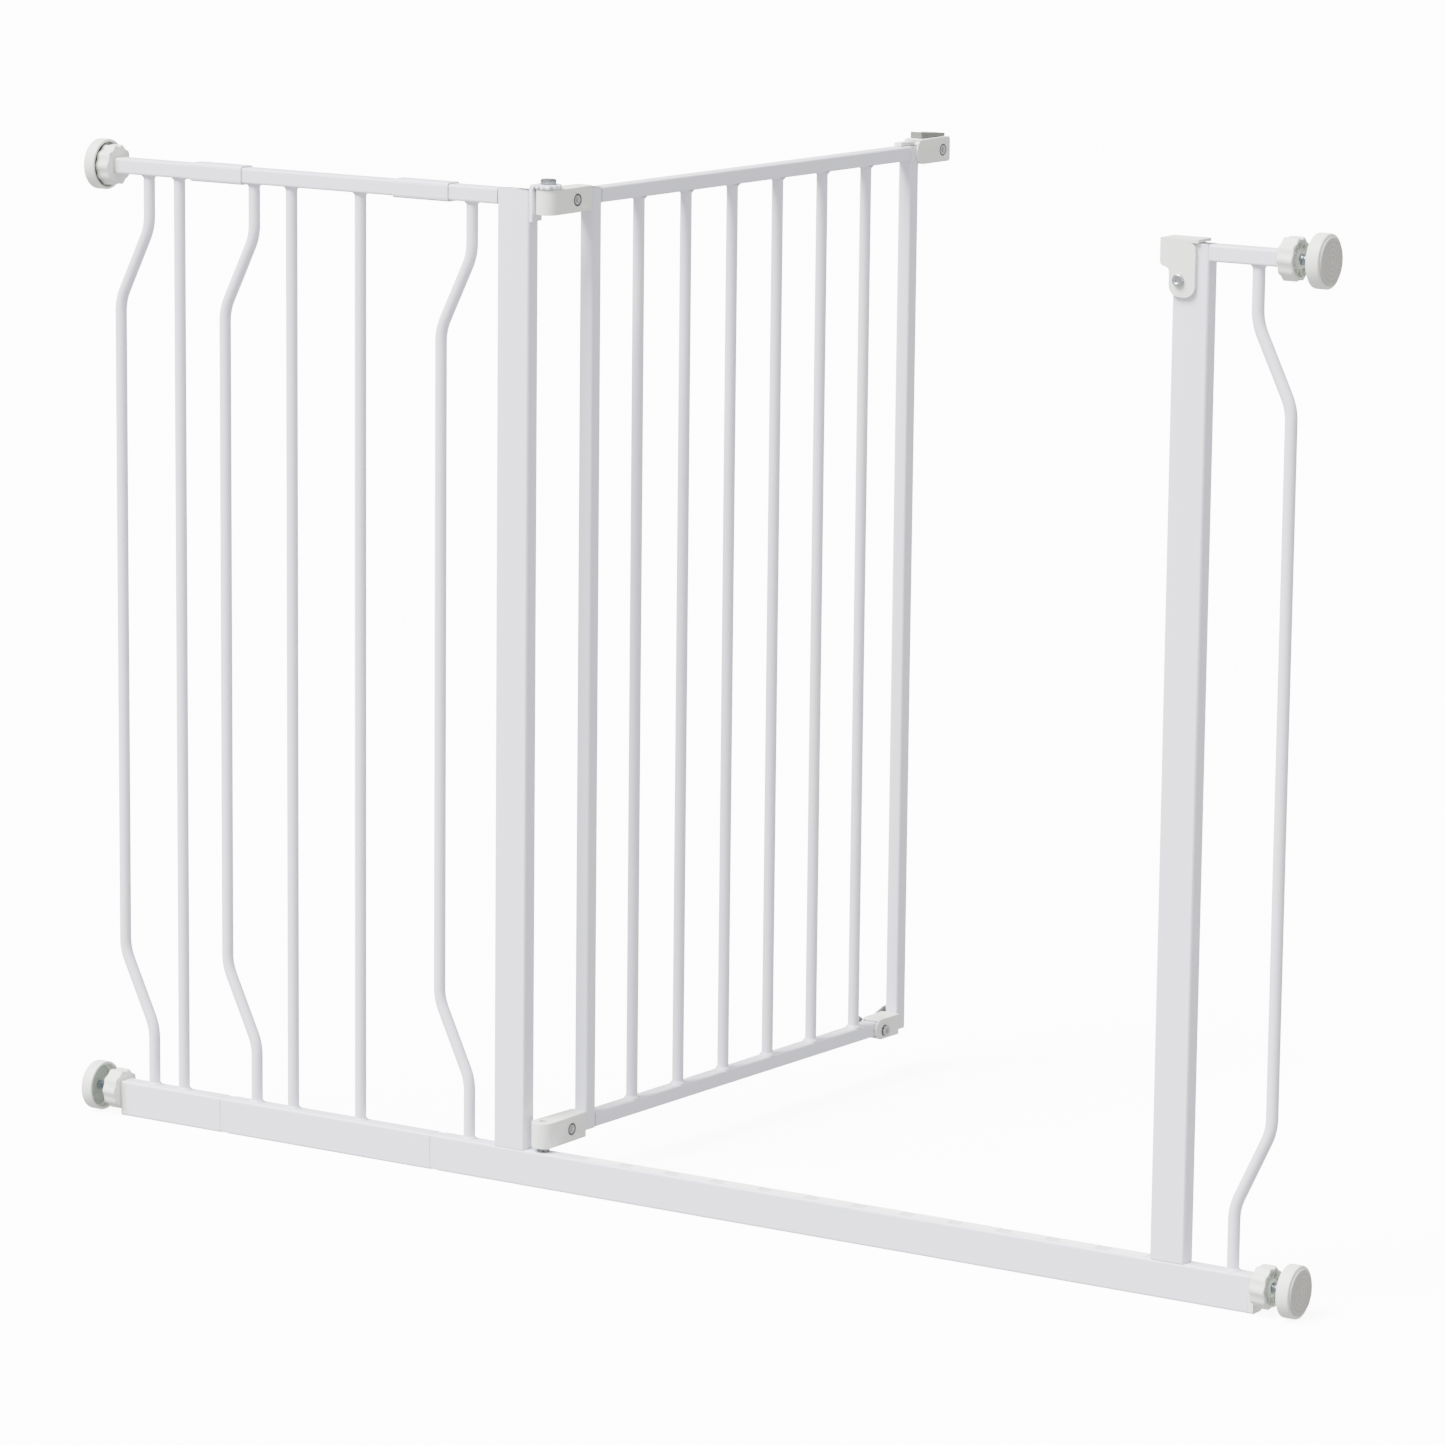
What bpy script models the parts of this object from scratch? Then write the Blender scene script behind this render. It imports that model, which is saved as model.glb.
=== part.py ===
"""Pressure-fit pet gate: a steel U-frame with a swinging door, two extension panels and four wall mounts.

X runs along the gate, Y through it and Z up. The origin is on the floor, at mid-width, in the
frame's mid-plane. The door is drawn closed in its own frame on the hinge axis, then stands open.
Each wall mount is drawn pointing outward along +X in its own frame on the spindle's axis.
"""

import math

import bmesh
import bpy
from mathutils import Vector

# Overall sizes, in metres
GATE_WIDTH = 1.000
GATE_HEIGHT = 0.760
FRAME_DEPTH = 0.014
GAP = 0.0003
WALL = 0.001

# Panels, from the left wall to the right wall
EXT_A_WIDTH = 0.100
EXT_B_WIDTH = 0.200
NECK_LENGTH = 0.0075
NECK_INSET = 0.0005
DOORWAY = 0.540
STUB = 0.052

# Steel sections
BEAM_HEIGHT = 0.028
POST_WIDTH = 0.028
RAIL_HEIGHT = 0.012
STEEL_CORNER = 0.0018
ROD_RADIUS = 0.0045
ROD_SIDES = 12
SLEEVE_CLEARANCE = 0.0003
SLEEVE_WALL = 0.0009
SLEEVE_A = (-0.431, -0.383)
SLEEVE_B = (-0.242, -0.192)
RAIL_BREAK = 0.009

# Rods that bow out towards the walls
BOW_OUT = 0.028
BOW_BOTTOM_STUB = 0.046
BOW_BOTTOM_RISE = 0.060
BOW_TOP_STUB = 0.040
BOW_TOP_RISE = 0.058
BOW_BEND_RADIUS = 0.040
EXT_BOW_INSET = 0.024
MAIN_LEFT_BOW_INSET = 0.025
MAIN_RIGHT_BOW_INSET = 0.016
EXT_A_RODS = {"ext_a_rod": 0.053}
EXT_B_RODS = {"ext_b_rod_1": 0.059, "ext_b_rod_2": 0.123}

# Door, measured from the hinge axis when it is closed
DOOR_OPEN_DEG = 86.0
HINGE_FROM_POST = 0.013
DOOR_START = 0.046
DOOR_WIDTH = 0.430
DOOR_TUBE = 0.012
DOOR_BOTTOM = 0.036
DOOR_TOP = 0.759
DOOR_RODS = 6

# Hinge blocks, bracket and pins
BLOCK_RADIUS = 0.009
BLOCK_TIP_HALF = 0.0075
BLOCK_TIP_CHAMFER = 0.002
UPPER_BLOCK = (0.7425, 0.7615)
LOWER_BLOCK = (0.0315, 0.0515)
BLOCK_SCREW_X = 0.025
PIVOT_RADIUS = 0.0030
PIVOT_HOLE_RADIUS = 0.0034
PIVOT_SIDES = 20
PIVOT_ENGAGEMENT = 0.0165
EAR = (0.7620, 0.7650)
EAR_RADIUS = 0.010
TAB_BOTTOM = 0.737
TAB_THICKNESS = 0.0027
TAB_HALF_DEPTH = 0.0065
BOLT_HEAD_RADIUS = 0.006
BOLT_HEAD_HEIGHT = 0.0037
COLLAR_RADIUS = 0.005

# Socket screws
SCREW_RADIUS = 0.0043
SCREW_HEAD = 0.0026
SCREW_SIDES = 18
SOCKET_RADIUS = 0.0021
SOCKET_DEPTH = 0.0015
SCREW_HOLE_RADIUS = 0.0049
SCREW_HOLE_DEPTH = 0.0028
EDGE_BREAK = 0.0006

# Latch on the door's top corner
LATCH_X = (0.4710, 0.5170)
LATCH_Z = (0.7435, 0.7635)
LATCH_HALF_DEPTH = 0.0077
LATCH_NOSE_RADIUS = 0.0025
LATCH_HEEL_RADIUS = 0.0080
LATCH_SCREW = (0.507, 0.753)
LATCH_TRAVEL = 0.009
BOLT_HALF_WIDTH = 0.0035
BOLT_TAIL = (0.4540, 0.5000)
BOLT_TAIL_Z = (0.7595, 0.7620)
BOLT_NOSE = (0.4860, 0.5165)
BOLT_NOSE_Z = (0.7510, 0.7580)
SLIDER_X = (0.4795, 0.5130)
SLIDER_HALF_WIDTH = 0.0055
SLIDER_HEEL = 0.0052
SLIDER_DIP = 0.0024
SLIDER_BUMP = 0.0014
SLIDER_STEPS = 12
STEM_X = (0.4880, 0.4940)
STEM_HALF_WIDTH = 0.0020

# Catch: a saddle over the right post's top
CATCH_X = (0.4112, 0.4390)
CATCH_ROOF_END = 0.4410
CATCH_Z = (0.7220, 0.7630)
CATCH_ROOF = 0.0025
CATCH_HALF_DEPTH = 0.010
CATCH_CORNER = 0.008
CATCH_TOP_CORNER = 0.005
CATCH_SHOULDER_Z = 0.7465
CATCH_HEEL_X = 0.4185
CATCH_SCREW = (0.4265, 0.7340)

# Boss round the door's bottom rail, and its finger lever
BOSS_X = (0.431, 0.4634)
BOSS_Z = (0.033, 0.050)
BOSS_HALF_DEPTH = 0.0085
BOSS_PIVOT = (0.443, 0.040)
LEVER_THICKNESS = 0.0025
LEVER_HUB = 0.0065
LEVER_ARCH = (0.4185, 0.054)
LEVER_TIP = (0.480, 0.053)
LEVER_TIP_HEIGHT = 0.012

# Wall mounts; each reach is from the rail's end to the pad's face
TOP_MOUNT_Z = 0.754
BOTTOM_MOUNT_Z = 0.020
MOUNT_REACH = {"top_left": 0.026, "bottom_left": 0.036, "top_right": 0.040, "bottom_right": 0.039}
PLUG_FLANGE = 0.0043
PLUG_INSERT = 0.014
SPINDLE_RADIUS = 0.0037
SPINDLE_HOLE_RADIUS = 0.0041
SPINDLE_LENGTH = 0.070
SPINDLE_CHAMFER = 0.0007
NUT_RADIUS = 0.0152
NUT_LOBE = 0.0008
NUT_LOBES = 10
NUT_SIDES = 40
NUT_LENGTH = 0.012
NUT_RECESS_DEPTH = 0.006
NUT_RECESS_RADIUS = 0.0122
NUT_HUB_RADIUS = 0.0068
NUT_BREAK = 0.0009
CUP_RADIUS = 0.0195
CUP_SIDES = 32
CUP_THICKNESS = 0.011
CUP_RECESS_RADIUS = 0.0175
CUP_RECESS_DEPTH = 0.007
CUP_HUB_RADIUS = 0.0065
CUP_HUB_HEIGHT = 0.001
PAD_RADIUS = 0.0170
PAD_PROUD = 0.0012

HALF_DEPTH = FRAME_DEPTH / 2
LEFT_END = -GATE_WIDTH / 2
RIGHT_END = GATE_WIDTH / 2
EXT_B_START = LEFT_END + EXT_A_WIDTH
MAIN_LEFT = EXT_B_START + EXT_B_WIDTH
LEFT_POST = MAIN_LEFT + STUB
RIGHT_POST = LEFT_POST + POST_WIDTH + DOORWAY
HINGE_X = LEFT_POST + POST_WIDTH + HINGE_FROM_POST
TOP_RAIL_Z = GATE_HEIGHT - RAIL_HEIGHT
TOP_RAIL_MID = TOP_RAIL_Z + RAIL_HEIGHT / 2
BEAM_MID = BEAM_HEIGHT / 2

AXES = {
    "X": lambda u, v, w: Vector((w, u, v)),
    "Y": lambda u, v, w: Vector((u, w, v)),
    "Z": lambda u, v, w: Vector((u, v, w)),
}


def clear_scene():
    for obj in list(bpy.data.objects):
        bpy.data.objects.remove(obj)


def make_material(name, colour, roughness, metallic=0.0):
    material = bpy.data.materials.new(name)
    material.use_nodes = True
    shader = material.node_tree.nodes["Principled BSDF"]
    shader.inputs["Base Color"].default_value = (*colour, 1.0)
    shader.inputs["Roughness"].default_value = roughness
    shader.inputs["Metallic"].default_value = metallic
    return material


def mesh_object(name, bm, parent=None):
    bmesh.ops.recalc_face_normals(bm, faces=bm.faces)
    mesh = bpy.data.meshes.new(name)
    bm.to_mesh(mesh)
    bm.free()
    obj = bpy.data.objects.new(name, mesh)
    obj.parent = parent
    bpy.context.scene.collection.objects.link(obj)
    return obj


def add_part(name, bm, material, parent=None, smooth_deg=35.0):
    obj = mesh_object(name, bm, parent)
    obj.data.materials.append(material)
    obj.data.shade_smooth()
    obj.data.set_sharp_from_angle(angle=math.radians(smooth_deg))
    return obj


def add_empty(name, location, turn_deg=0.0, parent=None):
    empty = bpy.data.objects.new(name, None)
    empty.location = location
    empty.rotation_euler = (0.0, 0.0, math.radians(turn_deg))
    empty.parent = parent
    bpy.context.scene.collection.objects.link(empty)
    return empty


def arc(centre, radius, start_deg, end_deg, steps):
    points = []
    for i in range(steps + 1):
        a = math.radians(start_deg + (end_deg - start_deg) * i / steps)
        points.append((centre[0] + radius * math.cos(a), centre[1] + radius * math.sin(a)))
    return points


def circle(radius, sides, centre=(0.0, 0.0)):
    return arc(centre, radius, 0.0, 360.0 * (sides - 1) / sides, sides - 1)


def rectangle(u0, u1, v0, v1):
    return [(u0, v0), (u1, v0), (u1, v1), (u0, v1)]


def round_rect(width, height, radius, centre_v=0.0, steps=3):
    """Corner-rounded rectangle centred on u = 0, anticlockwise."""
    points = []
    for turn, (su, sv) in enumerate(((1, 1), (-1, 1), (-1, -1), (1, -1))):
        corner = (su * (width / 2 - radius), centre_v + sv * (height / 2 - radius))
        points += arc(corner, radius, 90 * turn, 90 * turn + 90, steps)
    return points


def loft(bm, axis, stations, closed=False):
    """Skin through (place, outline) stations along an axis; a closed one returns to its first."""
    place = AXES[axis]
    rings = [[bm.verts.new(place(u, v, w)) for u, v in outline] for w, outline in stations]
    pairs = list(zip(rings, rings[1:]))
    if closed:
        pairs.append((rings[-1], rings[0]))
    else:
        bm.faces.new(rings[0])
        bm.faces.new(rings[-1])
    for first, second in pairs:
        for i in range(len(first)):
            j = (i + 1) % len(first)
            bm.faces.new((first[i], first[j], second[j], second[i]))


def lofted(axis, stations, closed=False):
    bm = bmesh.new()
    loft(bm, axis, stations, closed)
    return bm


def prism(outline, axis, start, end):
    return lofted(axis, [(start, outline), (end, outline)])


def turned(axis, profile, sides, centre=(0.0, 0.0), closed=False):
    """Solid of revolution about a line along the axis, from (place, radius) pairs."""
    return lofted(axis, [(w, circle(radius, sides, centre)) for w, radius in profile], closed)


def add_bevel(obj, width, segments=2, angle_deg=40.0):
    bevel = obj.modifiers.new("edge_radius", "BEVEL")
    bevel.width = width
    bevel.segments = segments
    bevel.limit_method = "ANGLE"
    bevel.angle_limit = math.radians(angle_deg)


def combine(obj, bm, name, operation="DIFFERENCE"):
    """Cut this shape from the object, or join it on."""
    tool = mesh_object(f"{obj.name}_{name}", bm, obj.parent)
    tool.hide_render = True
    tool.display_type = "WIRE"
    boolean = obj.modifiers.new(name, "BOOLEAN")
    boolean.object = tool
    boolean.operation = operation
    boolean.solver = "EXACT"


def beam(name, x0, x1, z_mid, height, material, neck=0.0):
    """Rectangular tube along the gate, open at both ends, with a narrower neck at its right end."""
    outer = round_rect(FRAME_DEPTH, height, STEEL_CORNER, z_mid)
    inner = round_rect(FRAME_DEPTH - 2 * WALL, height - 2 * WALL, STEEL_CORNER - WALL, z_mid)
    stations = [(x0, inner), (x0, outer)]
    if neck:
        slim = (FRAME_DEPTH - 2 * NECK_INSET, height - 2 * NECK_INSET)
        waist = round_rect(*slim, STEEL_CORNER - NECK_INSET, z_mid)
        stations += [(x1 - neck, outer), (x1 - neck, waist), (x1, waist), (x1, inner)]
    else:
        stations += [(x1, outer), (x1, inner)]
    add_part(name, lofted("X", stations, closed=True), material)


def post(name, x0, material):
    outline = [(u + x0 + POST_WIDTH / 2, v) for u, v in round_rect(POST_WIDTH, FRAME_DEPTH, STEEL_CORNER)]
    add_part(name, prism(outline, "Z", BEAM_HEIGHT + GAP, GATE_HEIGHT), material)


def straight_rod(name, x, z0, z1, material, parent=None):
    add_part(name, prism(circle(ROD_RADIUS, ROD_SIDES, (x, 0.0)), "Z", z0, z1), material, parent)


def rounded_path(corners, radius, steps=5):
    """Polyline through the corners with each inner corner turned into an arc."""
    path = [corners[0]]
    for before, corner, after in zip(corners, corners[1:], corners[2:]):
        to_before = (before - corner).normalized()
        to_after = (after - corner).normalized()
        half = to_before.angle(to_after) / 2
        centre = corner + (to_before + to_after).normalized() * radius / math.sin(half)
        first = corner + to_before * radius / math.tan(half) - centre
        last = corner + to_after * radius / math.tan(half) - centre
        sweep = first.angle(last)
        for i in range(steps + 1):
            start_share = math.sin((1 - i / steps) * sweep) / math.sin(sweep)
            end_share = math.sin(i / steps * sweep) / math.sin(sweep)
            path.append(centre + first * start_share + last * end_share)
    path.append(corners[-1])
    return path


def bow_rod(name, x, side, material):
    """Outer rod that leaves its rails inset and bows out by BOW_OUT towards the wall."""
    z0 = BEAM_HEIGHT + GAP
    z1 = TOP_RAIL_Z - GAP
    out = x + side * BOW_OUT
    low = z0 + BOW_BOTTOM_STUB
    high = z1 - BOW_TOP_STUB
    corners = [(x, z0), (x, low), (out, low + BOW_BOTTOM_RISE), (out, high - BOW_TOP_RISE), (x, high), (x, z1)]
    path = rounded_path([Vector((px, 0.0, pz)) for px, pz in corners], BOW_BEND_RADIUS)
    across = Vector((0.0, 1.0, 0.0))
    bm = bmesh.new()
    rings = []
    for i, point in enumerate(path):
        along = path[min(i + 1, len(path) - 1)] - path[max(i - 1, 0)]
        sideways = across.cross(along.normalized())
        rings.append([bm.verts.new(point + sideways * u + across * v) for u, v in circle(ROD_RADIUS, ROD_SIDES)])
    bm.faces.new(rings[0])
    bm.faces.new(rings[-1])
    for first, second in zip(rings, rings[1:]):
        for i in range(ROD_SIDES):
            j = (i + 1) % ROD_SIDES
            bm.faces.new((first[i], first[j], second[j], second[i]))
    add_part(name, bm, material)


def sleeve(name, span, material):
    """Rectangular collar that joins two top rails."""
    depth = FRAME_DEPTH + 2 * SLEEVE_CLEARANCE
    height = RAIL_HEIGHT + 2 * SLEEVE_CLEARANCE
    inner = round_rect(depth, height, STEEL_CORNER, TOP_RAIL_MID)
    outer = round_rect(
        depth + 2 * SLEEVE_WALL, height + 2 * SLEEVE_WALL, STEEL_CORNER + SLEEVE_WALL, TOP_RAIL_MID
    )
    stations = [(span[0], inner), (span[0], outer), (span[1], outer), (span[1], inner)]
    add_part(name, lofted("X", stations, closed=True), material)


def screw(name, place, y_face, facing, material, parent=None, sunk=SCREW_HOLE_DEPTH):
    """Socket screw head seated below or on a face; facing is -1 or +1 along Y."""
    seat = y_face - facing * (sunk - GAP)
    top = seat + facing * SCREW_HEAD
    profile = [
        (seat, SCREW_RADIUS),
        (top - facing * EDGE_BREAK, SCREW_RADIUS),
        (top, SCREW_RADIUS - EDGE_BREAK),
        (top, SOCKET_RADIUS),
        (top - facing * SOCKET_DEPTH, SOCKET_RADIUS),
    ]
    add_part(name, turned("Y", profile, SCREW_SIDES, place), material, parent)


def sink_screw(obj, place, y_face, facing):
    hole = circle(SCREW_HOLE_RADIUS, SCREW_SIDES + 2, place)
    floor = y_face - facing * SCREW_HOLE_DEPTH
    combine(obj, prism(hole, "Y", floor, y_face + facing * SCREW_HOLE_DEPTH), "screw_hole")


def build_main_frame(steel):
    beam("main_bottom_rail", MAIN_LEFT, RIGHT_END, BEAM_MID, BEAM_HEIGHT, steel)
    post("left_post", LEFT_POST, steel)
    post("right_post", RIGHT_POST, steel)
    beam("main_top_rail_left", MAIN_LEFT, LEFT_POST - GAP, TOP_RAIL_MID, RAIL_HEIGHT, steel)
    beam("main_top_rail_right", RIGHT_POST + POST_WIDTH + GAP, RIGHT_END, TOP_RAIL_MID, RAIL_HEIGHT, steel)
    bow_rod("main_bow_rod_left", MAIN_LEFT + MAIN_LEFT_BOW_INSET, -1, steel)
    bow_rod("main_bow_rod_right", RIGHT_END - MAIN_RIGHT_BOW_INSET, 1, steel)


def build_extension(prefix, x0, width, rods, steel):
    """Extension panel with a bow rod at its left end; its beam necks down where the next panel starts."""
    x1 = x0 + width
    beam(prefix + "_bottom_rail", x0, x1 - GAP, BEAM_MID, BEAM_HEIGHT, steel, NECK_LENGTH - GAP)
    beam(prefix + "_top_rail", x0, x1 - RAIL_BREAK, TOP_RAIL_MID, RAIL_HEIGHT, steel)
    bow_rod(prefix + "_bow_rod", x0 + EXT_BOW_INSET, -1, steel)
    for name, along in rods.items():
        straight_rod(name, x0 + along, BEAM_HEIGHT + GAP, TOP_RAIL_Z - GAP, steel)


def build_hinge_bracket(steel, zinc):
    """Tab on the post that bends over into a round ear above the upper block, and the bolt through it."""
    x0 = LEFT_POST + POST_WIDTH + GAP
    ear_low, ear_high = EAR
    outline = [(x0, TAB_BOTTOM), (x0 + TAB_THICKNESS, TAB_BOTTOM), (x0 + TAB_THICKNESS, ear_low)]
    outline += [(HINGE_X, ear_low), (HINGE_X, ear_high)]
    outline += arc((x0 + TAB_THICKNESS, ear_high - TAB_THICKNESS), TAB_THICKNESS, 90, 180, 4)
    bracket = add_part("hinge_bracket", prism(outline, "Y", -TAB_HALF_DEPTH, TAB_HALF_DEPTH), steel)
    centre = (HINGE_X, 0.0)
    combine(bracket, prism(circle(EAR_RADIUS, PIVOT_SIDES + 4, centre), "Z", ear_low, ear_high), "ear", "UNION")
    hole = circle(PIVOT_HOLE_RADIUS, PIVOT_SIDES, centre)
    combine(bracket, prism(hole, "Z", ear_low - EDGE_BREAK, ear_high + EDGE_BREAK), "bolt_hole")

    head = ear_high + GAP
    crown = head + BOLT_HEAD_HEIGHT
    profile = [
        (UPPER_BLOCK[1] - PIVOT_ENGAGEMENT, PIVOT_RADIUS),
        (head, PIVOT_RADIUS),
        (head, BOLT_HEAD_RADIUS),
        (crown - EDGE_BREAK, BOLT_HEAD_RADIUS),
        (crown, BOLT_HEAD_RADIUS - EDGE_BREAK),
        (crown, SOCKET_RADIUS),
        (crown - SOCKET_DEPTH, SOCKET_RADIUS),
    ]
    add_part("hinge_bolt", turned("Z", profile, PIVOT_SIDES, centre), zinc)


def build_lower_pin(zinc):
    """Pin standing on the bottom beam, with a collar under the lower block."""
    collar = LOWER_BLOCK[0] - GAP
    profile = [
        (BEAM_HEIGHT + GAP, COLLAR_RADIUS),
        (collar, COLLAR_RADIUS),
        (collar, PIVOT_RADIUS),
        (LOWER_BLOCK[0] + PIVOT_ENGAGEMENT, PIVOT_RADIUS),
    ]
    add_part("lower_hinge_pin", turned("Z", profile, PIVOT_SIDES, (HINGE_X, 0.0)), zinc)


def build_catch(plastic, zinc):
    """Saddle over the post's top; the pocket beside the post takes the latch bolt."""
    left, right = CATCH_X
    low, high = CATCH_Z
    heel = CATCH_HEEL_X
    roof = high - CATCH_ROOF
    corner = CATCH_CORNER
    top_corner = CATCH_TOP_CORNER
    bend = (heel - left) / 2
    outline = arc((heel + corner, low + corner), corner, 180, 270, 6)
    outline += arc((right - corner, low + corner), corner, 270, 360, 6)
    outline += arc((right - top_corner, roof - top_corner), top_corner, 0, 90, 4)
    outline += [(CATCH_ROOF_END, roof), (CATCH_ROOF_END, high), (left, high)]
    outline += arc((left + bend, CATCH_SHOULDER_Z), bend, 180, 270, 3)
    outline += arc((heel - bend, CATCH_SHOULDER_Z - 2 * bend), bend, 90, 0, 3)[1:]
    solid = prism(outline, "Y", -CATCH_HALF_DEPTH, CATCH_HALF_DEPTH)
    catch = add_part("catch_housing", solid, plastic)
    pocket = rectangle(left - corner, CATCH_ROOF_END + corner, -HALF_DEPTH - GAP, HALF_DEPTH + GAP)
    combine(catch, prism(pocket, "Z", low - corner, roof + GAP), "pocket")
    screw("catch_screw", CATCH_SCREW, -CATCH_HALF_DEPTH, -1, zinc, sunk=0.0)


def build_door_frame(door, steel):
    """Four square tubes and six upright rods."""
    x0 = DOOR_START
    x1 = DOOR_START + DOOR_WIDTH
    half = DOOR_TUBE / 2
    section = [(u, v) for u, v in round_rect(DOOR_TUBE, DOOR_TUBE, STEEL_CORNER)]
    for name, middle in (("door_hinge_stile", x0 + half), ("door_latch_stile", x1 - half)):
        outline = [(u + middle, v) for u, v in section]
        add_part(name, prism(outline, "Z", DOOR_BOTTOM, DOOR_TOP), steel, door)
    for name, middle in (("door_bottom_rail", DOOR_BOTTOM + half), ("door_top_rail", DOOR_TOP - half)):
        outline = [(u, v + middle) for u, v in section]
        add_part(name, prism(outline, "X", x0 + DOOR_TUBE + GAP, x1 - DOOR_TUBE - GAP), steel, door)
    pitch = (DOOR_WIDTH - DOOR_TUBE) / (DOOR_RODS + 1)
    low = DOOR_BOTTOM + DOOR_TUBE + GAP
    high = DOOR_TOP - DOOR_TUBE - GAP
    for number in range(1, DOOR_RODS + 1):
        straight_rod(f"door_rod_{number}", x0 + half + pitch * number, low, high, steel, door)


def build_hinge_block(place, span, door, plastic, zinc):
    """Knuckle on the hinge axis with an arm that carries the door's hinge stile."""
    end = DOOR_START - GAP
    tip = BLOCK_TIP_HALF
    chamfer = BLOCK_TIP_CHAMFER
    outline = arc((0.0, 0.0), BLOCK_RADIUS, 85, 275, 14)
    outline += [(end - chamfer, -tip), (end, chamfer - tip), (end, tip - chamfer), (end - chamfer, tip)]
    block = add_part(f"{place}_hinge_block", prism(outline, "Z", *span), plastic, door)
    add_bevel(block, EDGE_BREAK, 2, 50)
    hole = circle(PIVOT_HOLE_RADIUS, PIVOT_SIDES)
    combine(block, prism(hole, "Z", span[0] - EDGE_BREAK, span[1] + EDGE_BREAK), "pivot_hole")
    arm_share = BLOCK_SCREW_X / end
    face = -(BLOCK_RADIUS + (tip - BLOCK_RADIUS) * arm_share)
    middle = (BLOCK_SCREW_X, sum(span) / 2)
    sink_screw(block, middle, face, -1)
    screw(f"{place}_hinge_screw", middle, face, -1, zinc, door)


def build_latch(door, plastic, grey, zinc):
    """Housing astride the latch stile, with a bolt inside it that a thumb slider pushes into the catch."""
    x0, x1 = LATCH_X
    low, high = LATCH_Z
    heel = LATCH_HEEL_RADIUS
    nose = LATCH_NOSE_RADIUS
    outline = arc((x0 + heel, low + heel), heel, 180, 270, 6)
    outline += arc((x1 - nose, low + nose), nose, 270, 360, 3)
    outline += arc((x1 - nose, high - nose), nose, 0, 90, 3)
    outline += arc((x0 + heel, high - heel), heel, 90, 180, 6)
    housing = add_part("latch_housing", prism(outline, "Y", -LATCH_HALF_DEPTH, LATCH_HALF_DEPTH), plastic, door)
    clear = DOOR_TUBE / 2 + GAP
    socket = rectangle(x0 - nose, DOOR_START + DOOR_WIDTH + GAP, -clear, clear)
    combine(housing, prism(socket, "Z", low - nose, DOOR_TOP + GAP), "stile_socket")
    wide = BOLT_HALF_WIDTH + GAP
    tail = rectangle(x0 - nose, BOLT_NOSE[0] + wide, BOLT_TAIL_Z[0] - GAP, BOLT_TAIL_Z[1] + GAP)
    combine(housing, prism(tail, "Y", -wide, wide), "tail_slot")
    chamber = rectangle(BOLT_NOSE[0] - GAP, x1 + nose, BOLT_NOSE_Z[0] - GAP, BOLT_TAIL_Z[1] + GAP)
    combine(housing, prism(chamber, "Y", -wide, wide), "bolt_chamber")
    slot_end = STEM_X[1] + LATCH_TRAVEL + GAP
    slot = rectangle(STEM_X[0] - GAP, slot_end, -STEM_HALF_WIDTH - GAP, STEM_HALF_WIDTH + GAP)
    combine(housing, prism(slot, "Z", BOLT_TAIL_Z[1], high + nose), "stem_slot")
    sink_screw(housing, LATCH_SCREW, -LATCH_HALF_DEPTH, -1)
    screw("latch_screw", LATCH_SCREW, -LATCH_HALF_DEPTH, -1, zinc, door)

    outline = [(BOLT_TAIL[0], BOLT_TAIL_Z[0]), (BOLT_NOSE[0], BOLT_TAIL_Z[0]), (BOLT_NOSE[0], BOLT_NOSE_Z[0])]
    outline += [(BOLT_NOSE[1], BOLT_NOSE_Z[0]), (BOLT_NOSE[1], BOLT_NOSE_Z[1]), (BOLT_TAIL[1], BOLT_NOSE_Z[1])]
    outline += [(BOLT_TAIL[1], BOLT_TAIL_Z[1]), (BOLT_TAIL[0], BOLT_TAIL_Z[1])]
    add_part("latch_bolt", prism(outline, "Y", -BOLT_HALF_WIDTH, BOLT_HALF_WIDTH), plastic, door)

    base = high + GAP
    length = SLIDER_X[1] - SLIDER_X[0]
    outline = [(SLIDER_X[0], base), (SLIDER_X[1], base)]
    for i in range(SLIDER_STEPS + 1):
        along = 1 - i / SLIDER_STEPS
        dip = SLIDER_DIP + (SLIDER_HEEL - SLIDER_DIP) * (1 - along) ** 2
        bump = SLIDER_BUMP * math.sin(math.pi * along) ** 2 * along
        outline.append((SLIDER_X[0] + length * along, base + dip + bump))
    solid = prism(outline, "Y", -SLIDER_HALF_WIDTH, SLIDER_HALF_WIDTH)
    slider = add_part("latch_slider", solid, grey, door)
    add_bevel(slider, EDGE_BREAK, 2, 50)
    stem = rectangle(*STEM_X, -STEM_HALF_WIDTH, STEM_HALF_WIDTH)
    stem_low = BOLT_TAIL_Z[1] + GAP
    combine(slider, prism(stem, "Z", stem_low, base + SLIDER_DIP / 2), "stem", "UNION")


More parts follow.
